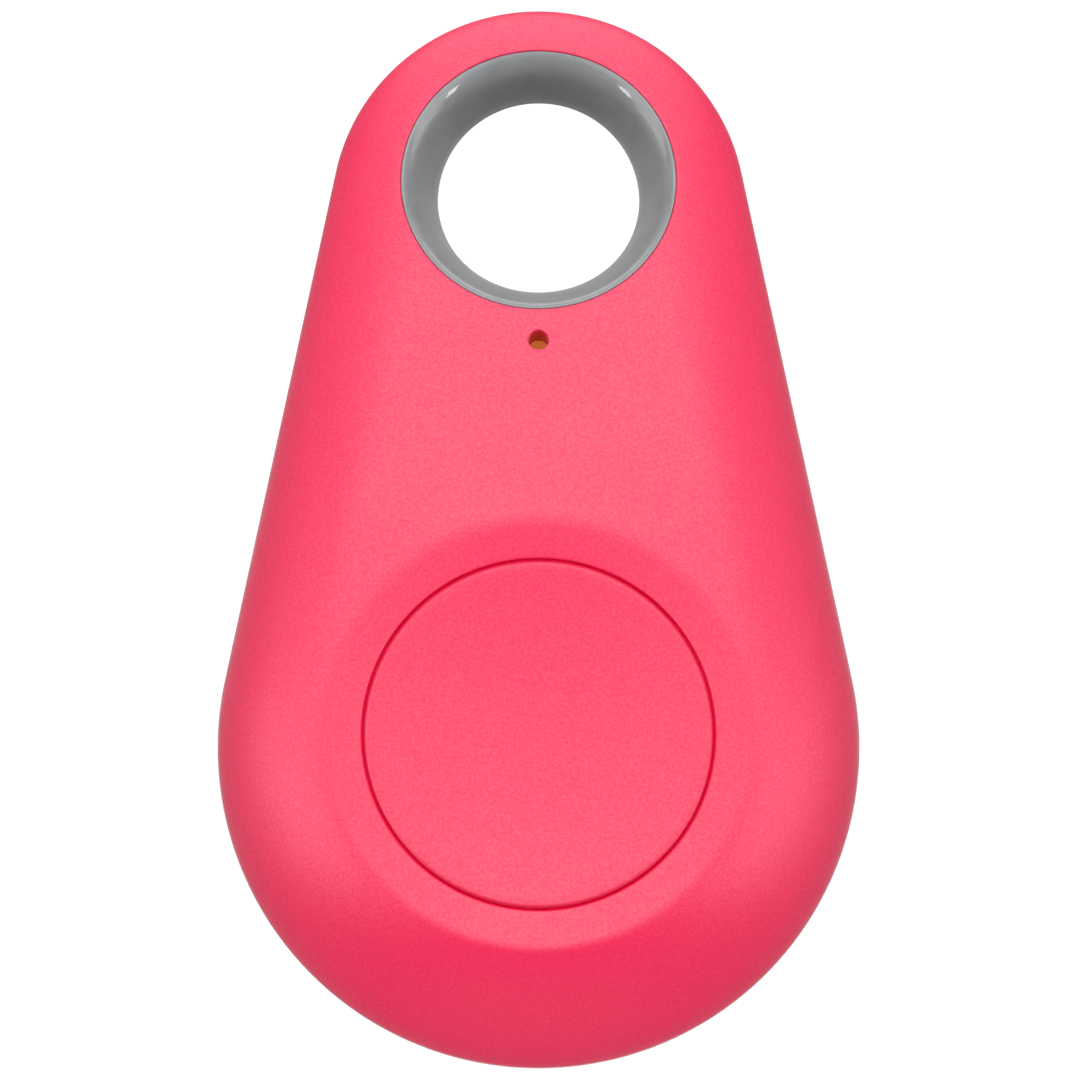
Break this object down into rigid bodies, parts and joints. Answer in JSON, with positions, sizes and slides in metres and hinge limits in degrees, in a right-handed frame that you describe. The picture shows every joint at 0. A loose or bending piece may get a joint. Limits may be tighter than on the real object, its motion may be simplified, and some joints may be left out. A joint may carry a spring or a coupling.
{
  "type": "bluetooth tracker tag",
  "caption": "Teardrop key-ring tracker tag: two snap-together shells, a dished push button, a lined ring hole, and a radio board over a coin cell.",
  "frame": {"origin": "middle of the footprint on the resting plane, with the tag lying on its back", "axes": "+Z out of the front (button) face, +Y towards the ring-hole end, +X across the tag"},
  "size_m": [0.031, 0.052, 0.011],
  "materials": {
    "shell_pink": "soft-touch matte",
    "button_pink": "soft-touch matte",
    "liner_grey": "satin",
    "board_green": "solder mask over glass fibre",
    "switch_black": "matte",
    "switch_ivory": "satin",
    "spring_steel": "satin",
    "tinned_steel": "tinned",
    "chip_black": "matte moulding compound",
    "crystal_can": "brushed lid",
    "antenna_white": "ceramic",
    "resistor_black": "glazed",
    "capacitor_tan": "ceramic",
    "led_white": "satin",
    "led_amber": "clear tinted",
    "buzzer_black": "satin",
    "magnet_grey": "sintered",
    "coil_copper": "enamelled copper wire",
    "contact_gold": "gold flash",
    "cell_steel": "brushed nickel plate",
    "cell_seal": "matte",
    "cell_pellet": "pressed powder",
    "cell_paper": "porous film",
    "cell_lithium": "soft metal"
  },
  "bodies": {
    "rear_case": {"rear_shell": "shell_pink", "ring_liner": "liner_grey"},
    "front_case": {"front_shell": "shell_pink", "circuit_board": "board_green", "switch_base": "switch_black", "switch_dome": "spring_steel", "switch_cover": "tinned_steel", "switch_terminals": "tinned_steel", "radio_chip": "chip_black", "main_crystal": "crystal_can", "clock_crystal": "crystal_can", "chip_antenna": "antenna_white", "chip_inductor": "chip_black", "buzzer_transistor": "chip_black", "chip_resistors": "resistor_black", "chip_capacitors": "capacitor_tan", "led_base": "led_white", "led_lens": "led_amber", "buzzer_case": "buzzer_black", "buzzer_base": "board_green", "buzzer_magnet": "magnet_grey", "buzzer_coil": "coil_copper", "buzzer_diaphragm": "spring_steel", "battery_clip": "tinned_steel", "negative_contact": "contact_gold"},
    "button": {"button_cap": "button_pink"},
    "plunger": {"switch_plunger": "switch_ivory"},
    "coin_cell": {"cell_can": "cell_steel", "cell_cap": "cell_steel", "cell_gasket": "cell_seal", "cell_cathode": "cell_pellet", "cell_separator": "cell_paper", "cell_anode": "cell_lithium"}
  },
  "joints": [
    {"name": "case_open", "type": "slide", "parent": "rear_case", "child": "front_case", "axis": [0, 0, 1], "range_m": [0, 0.015]},
    {"name": "cell_slide", "type": "slide", "parent": "front_case", "child": "coin_cell", "axis": [0, -1, 0], "range_m": [0, 0.015]},
    {"name": "button_press", "type": "slide", "parent": "front_case", "child": "button", "axis": [0, 0, -1], "range_m": [0, 0.00025], "stiffness_N_per_m": 600},
    {"name": "plunger_press", "type": "slide", "parent": "front_case", "child": "plunger", "axis": [0, 0, -1], "range_m": [0, 0.00025], "deforming": ["switch_dome"]}
  ],
  "couplings": [
    {"joint": "cell_slide", "follows": "case_open", "ratio": 1},
    {"joint": "plunger_press", "follows": "button_press", "ratio": 1}
  ]
}
